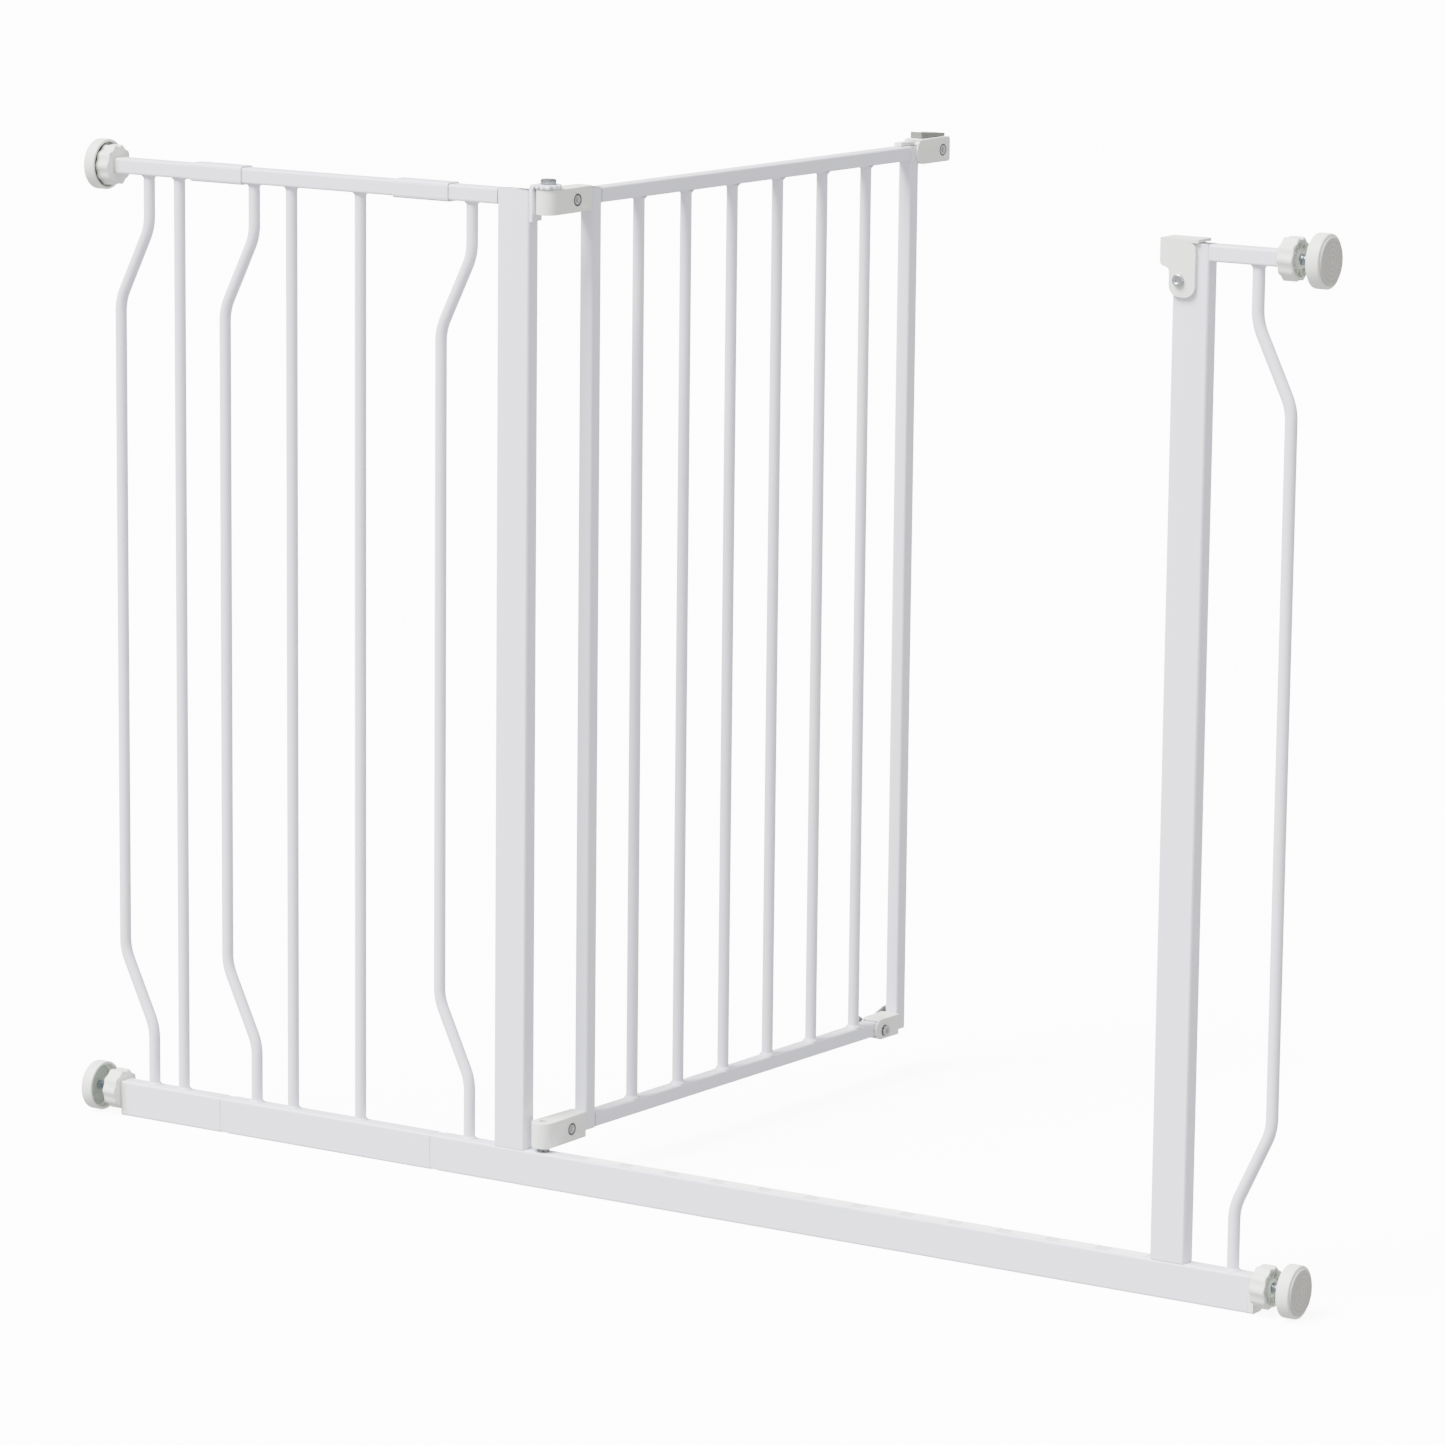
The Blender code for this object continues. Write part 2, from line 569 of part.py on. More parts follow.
def build_bottom_corner(door, plastic, grey, zinc):
    """Boss round the door's bottom rail, and a finger lever on its back that turns on the screw's line."""
    x0, x1 = BOSS_X
    low, high = BOSS_Z
    radius = (high - low) / 2
    outline = arc((x0 + radius, low + radius), radius, 90, 270, 12)
    outline += [(x1, low), (x1, high)]
    boss = add_part("corner_boss", prism(outline, "Y", -BOSS_HALF_DEPTH, BOSS_HALF_DEPTH), plastic, door)
    add_bevel(boss, EDGE_BREAK, 2, 50)
    clear = DOOR_TUBE / 2 + GAP
    channel = rectangle(-clear, clear, DOOR_BOTTOM - GAP, DOOR_BOTTOM + DOOR_TUBE + GAP)
    combine(boss, prism(channel, "X", x0 - radius, x1 + radius), "rail_channel")
    screw("corner_boss_screw", BOSS_PIVOT, -BOSS_HALF_DEPTH, -1, zinc, door, sunk=0.0)

    pivot = add_empty("lever_pivot", (BOSS_PIVOT[0], 0.0, BOSS_PIVOT[1]), parent=door)
    arch_x = LEVER_ARCH[0] - BOSS_PIVOT[0]
    crown = LEVER_ARCH[1] - BOSS_PIVOT[1]
    tip_x = LEVER_TIP[0] - BOSS_PIVOT[0]
    tip_top = LEVER_TIP[1] - BOSS_PIVOT[1]
    tip_low = tip_top - LEVER_TIP_HEIGHT
    hub = LEVER_HUB
    finger = LEVER_THICKNESS * 1.6
    tip_root = tip_x - LEVER_TIP_HEIGHT
    outline = arc((0.0, 0.0), hub, 190, 330, 8)
    outline += [(tip_root, tip_low), (tip_x - EDGE_BREAK, tip_low), (tip_x, tip_low + EDGE_BREAK)]
    outline += [(tip_x, tip_top - EDGE_BREAK), (tip_x - EDGE_BREAK, tip_top), (tip_root, tip_top)]
    outline += arc((0.0, 0.0), hub, 60, 110, 3)
    outline += [(arch_x * 0.5, crown - finger * 0.4), (arch_x * 0.75, crown), (arch_x, crown - finger)]
    outline += [(arch_x + EDGE_BREAK, crown - 2 * finger), (arch_x * 0.75, crown - finger)]
    outline += [(arch_x * 0.5, crown - finger * 1.6)]
    y0 = BOSS_HALF_DEPTH + GAP
    lever = add_part("bottom_lever", prism(outline, "Y", y0, y0 + LEVER_THICKNESS), grey, pivot)
    add_bevel(lever, EDGE_BREAK / 2, 1, 50)


def lobed(scale):
    points = []
    for i in range(NUT_SIDES):
        a = 2 * math.pi * i / NUT_SIDES
        radius = scale * (NUT_RADIUS + NUT_LOBE * math.cos(NUT_LOBES * a))
        points.append((radius * math.cos(a), radius * math.sin(a)))
    return points


def build_plug(place, rail_mid, rail_height, mount, plastic):
    """Flange on the rail's end and an insert inside it, bored for the spindle."""
    inside = 2 * (WALL + GAP)
    insert = round_rect(FRAME_DEPTH - inside, rail_height - inside, EDGE_BREAK, rail_mid)
    flange = round_rect(FRAME_DEPTH, rail_height, STEEL_CORNER, rail_mid)
    stations = [(-PLUG_INSERT, insert), (GAP, insert), (GAP, flange), (PLUG_FLANGE, flange)]
    plug = add_part(f"plug_{place}", lofted("X", stations), plastic, mount)
    bore = circle(SPINDLE_HOLE_RADIUS, PIVOT_SIDES)
    combine(plug, prism(bore, "X", -PLUG_INSERT - GAP, PLUG_FLANGE + GAP), "bore")


def build_nut(place, mount, plastic):
    """Lobed hand nut, with its outer face recessed round the hub."""
    near = PLUG_FLANGE + GAP
    far = near + NUT_LENGTH
    floor = far - NUT_RECESS_DEPTH
    bore = circle(SPINDLE_HOLE_RADIUS, NUT_SIDES)
    rim = circle(NUT_RECESS_RADIUS, NUT_SIDES)
    hub = circle(NUT_HUB_RADIUS, NUT_SIDES)
    eased = lobed(1 - NUT_BREAK / NUT_RADIUS)
    stations = [(near, bore), (near, eased), (near + NUT_BREAK, lobed(1.0)), (far - NUT_BREAK, lobed(1.0))]
    stations += [(far, eased), (far, rim), (floor, rim), (floor, hub), (far, hub), (far, bore)]
    add_part(f"nut_{place}", lofted("X", stations, closed=True), plastic, mount)


def build_spindle_and_cup(place, mount, plastic, zinc):
    """Threaded spindle with a wall cup on its outer end; the cup's recess faces the nut."""
    reach = MOUNT_REACH[place]
    rim = reach - CUP_THICKNESS
    floor = rim + CUP_RECESS_DEPTH
    hub = floor - CUP_HUB_HEIGHT
    inner_end = reach - SPINDLE_LENGTH
    profile = [
        (inner_end, SPINDLE_RADIUS - SPINDLE_CHAMFER),
        (inner_end + SPINDLE_CHAMFER, SPINDLE_RADIUS),
        (hub - GAP, SPINDLE_RADIUS),
    ]
    add_part(f"spindle_{place}", turned("X", profile, ROD_SIDES), zinc, mount)
    pad = reach - PAD_PROUD
    profile = [
        (hub, CUP_HUB_RADIUS),
        (floor, CUP_HUB_RADIUS),
        (floor, CUP_RECESS_RADIUS),
        (rim, CUP_RECESS_RADIUS),
        (rim, CUP_RADIUS - EDGE_BREAK),
        (rim + EDGE_BREAK, CUP_RADIUS),
        (pad - EDGE_BREAK, CUP_RADIUS),
        (pad, CUP_RADIUS - EDGE_BREAK),
        (pad, PAD_RADIUS),
        (reach, PAD_RADIUS - EDGE_BREAK / 2),
    ]
    add_part(f"cup_{place}", turned("X", profile, CUP_SIDES), plastic, mount)


def build_wall_mount(place, end, axis_z, rail_mid, rail_height, plastic, zinc):
    mount = add_empty(f"mount_{place}", (end, 0.0, axis_z), 0.0 if end > 0 else 180.0)
    build_plug(place, rail_mid - axis_z, rail_height, mount, plastic)
    build_nut(place, mount, plastic)
    build_spindle_and_cup(place, mount, plastic, zinc)


def main():
    clear_scene()
    steel = make_material("white_powder_coated_steel", (0.78, 0.78, 0.81), 0.42)
    plastic = make_material("off_white_plastic", (0.77, 0.80, 0.76), 0.45)
    grey = make_material("grey_plastic", (0.22, 0.22, 0.21), 0.50)
    zinc = make_material("zinc_plated_steel", (0.52, 0.53, 0.54), 0.32, 1.0)

    build_main_frame(steel)
    build_extension("ext_a", LEFT_END, EXT_A_WIDTH, EXT_A_RODS, steel)
    build_extension("ext_b", EXT_B_START, EXT_B_WIDTH, EXT_B_RODS, steel)
    sleeve("sleeve_a", SLEEVE_A, steel)
    sleeve("sleeve_b", SLEEVE_B, steel)
    build_hinge_bracket(steel, zinc)
    build_lower_pin(zinc)
    build_catch(plastic, zinc)

    door = add_empty("door_pivot", (HINGE_X, 0.0, 0.0), DOOR_OPEN_DEG)
    build_door_frame(door, steel)
    build_hinge_block("upper", UPPER_BLOCK, door, plastic, zinc)
    build_hinge_block("lower", LOWER_BLOCK, door, plastic, zinc)
    build_latch(door, plastic, grey, zinc)
    build_bottom_corner(door, plastic, grey, zinc)

    for place in MOUNT_REACH:
        end = LEFT_END if place.endswith("left") else RIGHT_END
        if place.startswith("top"):
            build_wall_mount(place, end, TOP_MOUNT_Z, TOP_RAIL_MID, RAIL_HEIGHT, plastic, zinc)
        else:
            build_wall_mount(place, end, BOTTOM_MOUNT_Z, BEAM_MID, BEAM_HEIGHT, plastic, zinc)


main()
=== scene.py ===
import math

import bmesh
import bpy
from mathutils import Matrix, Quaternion, Vector


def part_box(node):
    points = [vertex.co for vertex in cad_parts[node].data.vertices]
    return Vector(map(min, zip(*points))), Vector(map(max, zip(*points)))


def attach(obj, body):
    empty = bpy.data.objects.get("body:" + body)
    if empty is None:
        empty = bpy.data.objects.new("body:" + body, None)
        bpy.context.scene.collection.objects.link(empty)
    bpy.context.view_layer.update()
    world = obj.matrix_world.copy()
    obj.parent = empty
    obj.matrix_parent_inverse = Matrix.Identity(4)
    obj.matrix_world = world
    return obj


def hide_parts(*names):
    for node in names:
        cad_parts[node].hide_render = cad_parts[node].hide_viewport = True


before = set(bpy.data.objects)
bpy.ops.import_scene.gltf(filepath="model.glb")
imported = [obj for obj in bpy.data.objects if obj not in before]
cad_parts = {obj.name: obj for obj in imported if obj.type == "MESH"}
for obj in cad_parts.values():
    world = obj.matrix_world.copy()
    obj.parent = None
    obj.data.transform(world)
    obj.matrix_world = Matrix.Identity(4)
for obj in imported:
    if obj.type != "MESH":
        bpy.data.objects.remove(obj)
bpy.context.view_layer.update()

mm = 0.001
places = ("top_left", "bottom_left", "top_right", "bottom_right")


def linearColour(hexCode):
    # sRGB hex to the linear values that the shaders take
    channels = [int(hexCode[i:i + 2], 16) / 255 for i in (1, 3, 5)]
    return (*[c / 12.92 if c <= 0.04045 else ((c + 0.055) / 1.055) ** 2.4 for c in channels], 1.0)


def addNode(tree, kind, settings=(), inputs=()):
    node = tree.nodes.new(kind)
    for name, value in dict(settings).items():
        setattr(node, name, value)
    for key, value in dict(inputs).items():
        if isinstance(value, bpy.types.NodeSocket):
            tree.links.new(value, node.inputs[key])
        else:
            node.inputs[key].default_value = value
    return node


# ---- materials ----

noise = {"driftDetail": 3.0, "driftRoughness": 0.55, "driftRange": (0.3, 0.7), "grainDetail": 2.0}


def surfaceMaterial(name, look):
    # Every finish here: a slow drift of colour, a roughness that varies, and a relief of real grain size
    material = bpy.data.materials.new(name)
    material.use_nodes = True
    tree = material.node_tree
    shader = tree.nodes["Principled BSDF"]
    coords = addNode(tree, "ShaderNodeTexCoord").outputs["Object"]
    cloud = addNode(tree, "ShaderNodeTexNoise", {}, {
        "Vector": coords, "Scale": 1 / (look["driftSize"] * mm),
        "Detail": noise["driftDetail"], "Roughness": noise["driftRoughness"]})
    colour = addNode(tree, "ShaderNodeMix", {"data_type": "RGBA"}, {
        0: cloud.outputs["Fac"], 6: linearColour(look["colour"]), 7: linearColour(look["drift"])})
    tree.links.new(colour.outputs[2], shader.inputs["Base Color"])
    low, high = look["roughness"]
    start, end = noise["driftRange"]
    rough = addNode(tree, "ShaderNodeMapRange", {}, {
        "Value": cloud.outputs["Fac"], "From Min": start, "From Max": end, "To Min": low, "To Max": high})
    tree.links.new(rough.outputs["Result"], shader.inputs["Roughness"])
    grain = addNode(tree, "ShaderNodeTexNoise", {}, {
        "Vector": coords, "Scale": 1 / (look["grainSize"] * mm), "Detail": noise["grainDetail"]})
    bump = addNode(tree, "ShaderNodeBump", {}, {
        "Height": grain.outputs["Fac"], "Strength": look["relief"], "Distance": look["depth"] * mm})
    tree.links.new(bump.outputs["Normal"], shader.inputs["Normal"])
    shader.inputs["Metallic"].default_value = look.get("metallic", 0.0)
    if "ior" in look:
        shader.inputs["IOR"].default_value = look["ior"]
    return material


finishes = {
    # Polyester powder coat on steel tube: satin white with a faint orange peel of about 1.5 mm
    "powderCoatedSteel": {
        "colour": "#E6E6F0", "drift": "#E1E1EC", "driftSize": 60, "roughness": (0.36, 0.46),
        "grainSize": 1.5, "relief": 0.25, "depth": 0.05, "ior": 1.5},
    # Same coat over a weld bead: lumpier, so it catches small glints
    "coatedWeld": {
        "colour": "#E1E1EC", "drift": "#D7D7E2", "driftSize": 8, "roughness": (0.40, 0.52),
        "grainSize": 1.1, "relief": 0.7, "depth": 0.15, "ior": 1.5},
    # Injection-moulded polypropylene, spark-eroded mould: greenish off-white, matte, fine even grain
    "mouldedPolypropylene": {
        "colour": "#E7EAE3", "drift": "#E0E4DC", "driftSize": 30, "roughness": (0.44, 0.54),
        "grainSize": 0.5, "relief": 0.25, "depth": 0.03, "ior": 1.49},
    # Moulded nylon for the parts that fingers push: mid grey with a slight sheen on the high spots
    "mouldedGreyNylon": {
        "colour": "#747470", "drift": "#666661", "driftSize": 10, "roughness": (0.36, 0.50),
        "grainSize": 0.5, "relief": 0.35, "depth": 0.04, "ior": 1.53},
    # Bright zinc plate on rolled thread: bluish metal, cloudy, with turning marks round the axis
    "zincPlatedThread": {
        "colour": "#AEB9BF", "drift": "#8F9BA2", "driftSize": 4, "roughness": (0.24, 0.40),
        "grainSize": 0.4, "relief": 0.3, "depth": 0.03, "metallic": 1.0},
    # Bright zinc plate on a screw head
    "zincPlatedHead": {
        "colour": "#C3C6C8", "drift": "#A9ADB0", "driftSize": 3, "roughness": (0.22, 0.36),
        "grainSize": 0.5, "relief": 0.25, "depth": 0.02, "metallic": 1.0},
    # Worn zinc on the pivot bolt: grey metal, duller at the edges
    "wornZinc": {
        "colour": "#8E9293", "drift": "#6C7071", "driftSize": 4, "roughness": (0.34, 0.50),
        "grainSize": 0.6, "relief": 0.3, "depth": 0.03, "metallic": 1.0},
    # Painted shadow in the gap round a sunk screw: a dark matt line that outlines the head
    "paintedRecessShadow": {
        "colour": "#5A5B58", "drift": "#4A4B49", "driftSize": 2, "roughness": (0.70, 0.85),
        "grainSize": 0.5, "relief": 0.2, "depth": 0.02, "ior": 1.5},
    # Thermoplastic rubber on the wall pads: warm grey, soft, with a stippled face
    "stippledRubber": {
        "colour": "#BDBBB6", "drift": "#B1AFAA", "driftSize": 9, "roughness": (0.66, 0.80),
        "grainSize": 0.8, "relief": 0.6, "depth": 0.10, "ior": 1.5},
    # Back plate in the cup's recess: the same plastic, painted greyer as shade for want of light, and less
    # polished
    "plateInPaintedShade": {
        "colour": "#AEB6AE", "drift": "#A3ABA3", "driftSize": 12, "roughness": (0.50, 0.62),
        "grainSize": 0.6, "relief": 0.3, "depth": 0.04, "ior": 1.49},
    # Unpainted insert that shows between two bottom rails: pale bluish plastic
    "paleInsert": {
        "colour": "#C4CFDA", "drift": "#B8C4D1", "driftSize": 12, "roughness": (0.40, 0.50),
        "grainSize": 0.6, "relief": 0.2, "depth": 0.03, "ior": 1.49},
    # Painted light on the threshold: raised pads, brighter than the paint and duller, stand for the patches
    # of light that fall between the shadows of the door's bars
    "paintedLightPatch": {
        "colour": "#FDFDFB", "drift": "#F6F6F4", "driftSize": 15, "roughness": (0.58, 0.70),
        "grainSize": 0.5, "relief": 0.4, "depth": 0.05, "ior": 1.5},
}
materials = {name: surfaceMaterial(name, look) for name, look in finishes.items()}
print("materials:", len(materials))


# ---- mesh helpers ----

shading = {
    "sharpAngle": 35, "bevelAngle": 40, "bevelSteps": 2, "joinDistance": 0.002,
    "rounding": {"catch_housing": 0.6}}


def newPiece(name, mesh, body, nodes=()):
    piece = bpy.data.objects.new(name, mesh)
    bpy.context.scene.collection.objects.link(piece)
    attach(piece, body)
    if nodes:
        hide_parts(*nodes)
    return piece


def smoothMesh(mesh):
    mesh.shade_smooth()
    mesh.set_sharp_from_angle(angle=math.radians(shading["sharpAngle"]))
    return mesh


def evenlyShaded(mesh, rounding):
    # Weights the normals by area, so that flat faces shade flat right up to their rounded edges
    holder = bpy.data.objects.new("shadeHolder", mesh)
    bpy.context.scene.collection.objects.link(holder)
    if rounding:
        bevel = holder.modifiers.new("edgeRound", "BEVEL")
        bevel.width = rounding * mm
        bevel.segments = shading["bevelSteps"]
        bevel.limit_method = "ANGLE"
        bevel.angle_limit = math.radians(shading["bevelAngle"])
    weighted = holder.modifiers.new("faceWeights", "WEIGHTED_NORMAL")
    weighted.weight = 100
    weighted.keep_sharp = True
    graph = bpy.context.evaluated_depsgraph_get()
    result = bpy.data.meshes.new_from_object(holder.evaluated_get(graph))
    bpy.data.objects.remove(holder)
    return result


def polishedCopy(nodeName, body, finish, second=None):
    # The CAD shape with its triangles joined up, so that round parts shade as round
    work = bmesh.new()
    work.from_mesh(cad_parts[nodeName].data)
    bmesh.ops.remove_doubles(work, verts=work.verts, dist=shading["joinDistance"] * mm)
    mesh = bpy.data.meshes.new(nodeName + "Shape")
    if second:
        low, high = second["x"]
        for face in work.faces:
            face.material_index = int(low < face.calc_center_median().x < high)
    work.to_mesh(mesh)
    work.free()
    mesh.materials.clear()
    mesh.materials.append(materials[finish])
    if second:
        mesh.materials.append(materials[second["finish"]])
    shaded = evenlyShaded(smoothMesh(mesh), shading["rounding"].get(nodeName, 0))
    return newPiece(nodeName + "Skin", shaded, body, [nodeName])


def turnedMesh(name, profile, sides, start, side, finish):
    # Revolves (distance, radius) pairs about a line along X; the ends close on the axis
    work = bmesh.new()
    rings = []
    for distance, radius in profile:
        x = start.x + side * distance
        if radius == 0:
            rings.append([work.verts.new((x, start.y, start.z))])
            continue
        turn = [2 * math.pi * i / sides for i in range(sides)]
        rings.append([work.verts.new((x, start.y + radius * math.cos(a), start.z + radius * math.sin(a)))
                      for a in turn])
    for first, second in zip(rings, rings[1:]):
        for i in range(sides):
            j = (i + 1) % sides
            corners = [first[i % len(first)], second[i % len(second)]]
            if len(second) > 1:
                corners.append(second[j])
            if len(first) > 1:
                corners.append(first[j])
            work.faces.new(corners)
    bmesh.ops.recalc_face_normals(work, faces=work.faces)
    mesh = bpy.data.meshes.new(name)
    work.to_mesh(mesh)
    work.free()
    mesh.materials.append(materials[finish])
    return smoothMesh(mesh)


# ---- geometry nodes helpers ----

def newTree(name, sockets):
    tree = bpy.data.node_groups.new(name, "GeometryNodeTree")
    tree.interface.new_socket("Geometry", in_out="OUTPUT", socket_type="NodeSocketGeometry")
    tree.interface.new_socket("Geometry", in_out="INPUT", socket_type="NodeSocketGeometry")
    for label, kind in sockets.items():
        tree.interface.new_socket(label, in_out="INPUT", socket_type="NodeSocket" + kind)
    return tree, addNode(tree, "NodeGroupInput").outputs


def endTree(tree, geometry, finish):
    whole = addNode(tree, "GeometryNodeRealizeInstances", {}, {"Geometry": geometry})
    painted = addNode(tree, "GeometryNodeSetMaterial", {}, {
        "Geometry": whole.outputs["Geometry"], "Material": finish})
    addNode(tree, "NodeGroupOutput", {}, {0: painted.outputs["Geometry"]})
    return tree


def growMesh(name, tree, seedMesh, values):
    # Runs the tree on the seed and keeps the result as a plain mesh
    seed = bpy.data.objects.new(name + "Seed", seedMesh)
    bpy.context.scene.collection.objects.link(seed)
    modifier = seed.modifiers.new(tree.name, "NODES")
    modifier.node_group = tree
    for item in tree.interface.items_tree:
        if item.item_type == "SOCKET" and item.in_out == "INPUT" and item.name in values:
            modifier[item.identifier] = values[item.name]
    graph = bpy.context.evaluated_depsgraph_get()
    mesh = bpy.data.meshes.new_from_object(seed.evaluated_get(graph), depsgraph=graph)
    seed.modifiers.remove(modifier)
    bpy.data.objects.remove(seed)
    mesh.name = name
    return smoothMesh(mesh)


def pointMesh(name, points, edges=()):
    mesh = bpy.data.meshes.new(name)
    mesh.from_pydata([tuple(p) for p in points], list(edges), [])
    return mesh


# ---- rods ----

rods = {
    "radius": 4.5, "sides": 24, "bendRadius": 40, "bendSteps": 10,
    "bottomStub": 46, "bottomRise": 60, "topStub": 40, "topRise": 58,
    "weldRadius": 6.3, "weldHeight": 2.2, "weldSides": 20, "weldSink": 0.3}
frameStraightRods = ("ext_a_rod", "ext_b_rod_1", "ext_b_rod_2")
frameBowRods = {"ext_a_bow_rod": -1, "ext_b_bow_rod": -1, "main_bow_rod_left": -1, "main_bow_rod_right": 1}
doorRods = tuple(f"door_rod_{i}" for i in range(1, 7))


def roundBarTree():
    tree, given = newTree("roundBars", {
        "Radius": "Float", "Sides": "Int", "Bend radius": "Float", "Bend steps": "Int", "Finish": "Material"})
    line = addNode(tree, "GeometryNodeMeshToCurve", {}, {"Mesh": given["Geometry"]})
    bent = addNode(tree, "GeometryNodeFilletCurve", {"mode": "POLY"}, {
        "Curve": line.outputs["Curve"], "Count": given["Bend steps"],
        "Radius": given["Bend radius"], "Limit Radius": True})
    section = addNode(tree, "GeometryNodeCurvePrimitiveCircle", {}, {
        "Resolution": given["Sides"], "Radius": given["Radius"]})
    bar = addNode(tree, "GeometryNodeCurveToMesh", {}, {
        "Curve": bent.outputs["Curve"], "Profile Curve": section.outputs["Curve"], "Fill Caps": True})
    return endTree(tree, bar.outputs["Mesh"], given["Finish"])


def rodLine(nodeName):
    # The rod's centre line, from its CAD box
    low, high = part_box(nodeName)
    radius = rods["radius"] * mm
    side = frameBowRods.get(nodeName)
    if side is None:
        x, y = (low.x + high.x) / 2, (low.y + high.y) / 2
        return [Vector((x, y, low.z)), Vector((x, y, high.z))]
    straight = high.x - radius if side < 0 else low.x + radius
    bowed = low.x + radius if side < 0 else high.x - radius
    z1 = low.z + rods["bottomStub"] * mm
    z4 = high.z - rods["topStub"] * mm
    z2 = z1 + rods["bottomRise"] * mm
    z3 = z4 - rods["topRise"] * mm
    line = [(straight, low.z), (straight, z1), (bowed, z2), (bowed, z3), (straight, z4), (straight, high.z)]
    return [Vector((x, 0.0, z)) for x, z in line]


def makeRods(name, body, nodes, tree):
    points, edges = [], []
    for nodeName in nodes:
        line = rodLine(nodeName)
        edges += [(len(points) + i, len(points) + i + 1) for i in range(len(line) - 1)]
        points += line
    mesh = growMesh(name, tree, pointMesh(name + "Line", points, edges), {
        "Radius": rods["radius"] * mm, "Sides": rods["sides"], "Bend radius": rods["bendRadius"] * mm,
        "Bend steps": rods["bendSteps"], "Finish": materials["powderCoatedSteel"]})
    return newPiece(name, mesh, body, nodes)


def weldTree():
    tree, given = newTree("weldFillets", {
        "Radius at rail": "Float", "Radius at rod": "Float", "Height": "Float", "Sides": "Int",
        "Finish": "Material"})
    cone = addNode(tree, "GeometryNodeMeshCone", {"fill_type": "NGON"}, {
        "Vertices": given["Sides"], "Radius Top": given["Radius at rod"],
        "Radius Bottom": given["Radius at rail"], "Depth": given["Height"]})
    spots = addNode(tree, "GeometryNodeMeshToPoints", {}, {"Mesh": given["Geometry"]})
    beads = addNode(tree, "GeometryNodeInstanceOnPoints", {}, {
        "Points": spots.outputs["Points"], "Instance": cone.outputs["Mesh"]})
    return endTree(tree, beads.outputs["Instances"], given["Finish"])


def makeWelds(name, body, nodes, tree):
    # A low cone of weld round each end of each rod
    rod, rail, height = (rods[key] * mm for key in ("radius", "weldRadius", "weldHeight"))
    sink = rods["weldSink"] * mm
    for end, step in (("Foot", -1), ("Head", 1)):
        points = []
        for nodeName in nodes:
            line = rodLine(nodeName)
            points.append(line[0 if step < 0 else -1] + Vector((0, 0, step * sink)))
        if step > 0:
            points = [p - Vector((0, 0, height)) for p in points]
        wide, slim = (rail, rod) if step < 0 else (rod, rail)
        mesh = growMesh(name + end, tree, pointMesh(name + end, points), {
            "Radius at rail": wide, "Radius at rod": slim, "Height": height,
            "Sides": rods["weldSides"], "Finish": materials["coatedWeld"]})
        newPiece(name + end, mesh, body)


barTree = roundBarTree()
beadTree = weldTree()
rodsOf = {"frame": [*frameBowRods, *frameStraightRods], "door": list(doorRods)}
for body, nodeNames in rodsOf.items():
    makeRods(body + "Rods", body, nodeNames, barTree)
for body, nodeNames in rodsOf.items():
    makeWelds(body + "Welds", body, nodeNames, beadTree)
print("rods and welds made")


# ---- steel frame, door tubes and moulded parts, from the CAD ----

# The pale insert that shows at the end of an extension's bottom rail
neck = {"length": 7.6}
steelNodes = {
    "frame": ("main_bottom_rail", "left_post", "right_post", "main_top_rail_left", "main_top_rail_right",
              "ext_a_top_rail", "ext_b_top_rail", "sleeve_a", "sleeve_b", "hinge_bracket"),
    "door": ("door_bottom_rail", "door_top_rail", "door_hinge_stile", "door_latch_stile")}
plasticNodes = {
    "frame": ("catch_housing", *[f"plug_{p}" for p in places]),
    "door": ("upper_hinge_block", "lower_hinge_block", "latch_housing", "corner_boss"),
    "latch": ("latch_bolt",)}
greyNodes = {"latch": ("latch_slider",), "lever": ("bottom_lever",)}
screwNodes = {
    "frame": ("catch_screw",),
    "door": ("upper_hinge_screw", "lower_hinge_screw", "latch_screw", "corner_boss_screw")}
pivotNodes = {"frame": ("hinge_bolt", "lower_hinge_pin")}

for group, slotName, finish in (
        (steelNodes, "steel", "powderCoatedSteel"), (plasticNodes, "plastic", "mouldedPolypropylene"),
        (greyNodes, "grey", "mouldedGreyNylon"), (screwNodes, "zinc", "zincPlatedHead"),
        (pivotNodes, "zinc", "wornZinc")):
    for body, names in group.items():
        for nodeName in names:
            polishedCopy(nodeName, body, finish)

for nodeName in ("ext_a_bottom_rail", "ext_b_bottom_rail"):
    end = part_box(nodeName)[1].x
    polishedCopy(nodeName, "frame", "powderCoatedSteel",
                 second={"x": (end - neck["length"] * mm, end), "finish": "paleInsert"})
print("steel and moulded parts skinned")


# ---- painted shadow rings round the sunk screws ----

gap = {"inner": 0.80, "outer": 1.10, "lift": 0.06, "sides": 32, "reach": 4}
gapScrews = {
    "upper_hinge_screw": "upper_hinge_block", "lower_hinge_screw": "lower_hinge_block",
    "latch_screw": "latch_housing", "corner_boss_screw": "corner_boss"}


